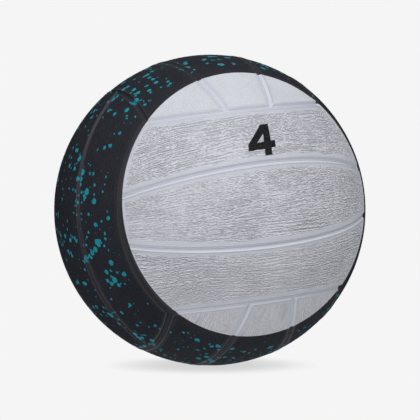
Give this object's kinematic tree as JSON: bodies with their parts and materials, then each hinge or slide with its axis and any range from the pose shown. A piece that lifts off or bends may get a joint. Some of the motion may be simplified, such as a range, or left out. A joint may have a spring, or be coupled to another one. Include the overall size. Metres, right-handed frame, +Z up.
{
  "type": "water polo ball",
  "caption": "Inflatable water polo ball with a grippy moulded cover of strip panels in crossing groups, wound carcass, air bladder and a pull-out needle valve.",
  "frame": {"origin": "centre of the ball", "axes": "+Z up through the middle of the top group of panels; -Y out through the middle of the front group; +X out along the valve"},
  "size_m": [0.2098, 0.21, 0.21],
  "materials": {
    "cover_two_tone": "satin",
    "cover_dark": "satin",
    "carcass_rubber": "satin",
    "nylon_thread": "matte",
    "butyl_rubber": "matte",
    "valve_rubber": "matte",
    "valve_core_rubber": "matte"
  },
  "bodies": {
    "ball": {"front_upper_panel": "cover_two_tone", "front_middle_panel": "cover_two_tone", "front_lower_panel": "cover_two_tone", "back_upper_panel": "cover_two_tone", "back_middle_panel": "cover_two_tone", "back_lower_panel": "cover_two_tone", "left_front_panel": "cover_dark", "left_middle_panel": "cover_dark", "left_back_panel": "cover_dark", "right_front_panel": "cover_dark", "right_middle_panel": "cover_dark", "right_back_panel": "cover_dark", "top_left_panel": "cover_two_tone", "top_middle_panel": "cover_two_tone", "top_right_panel": "cover_two_tone", "bottom_left_panel": "cover_two_tone", "bottom_middle_panel": "cover_two_tone", "bottom_right_panel": "cover_two_tone", "carcass": "carcass_rubber", "thread_winding": "nylon_thread", "bladder": "butyl_rubber", "valve_seat": "valve_rubber"},
    "core": {"valve_core": "valve_core_rubber"}
  },
  "joints": [
    {"name": "valve_core_pull", "type": "slide", "parent": "ball", "child": "core", "axis": [1, 0, 0], "range_m": [0, 0.016]}
  ]
}
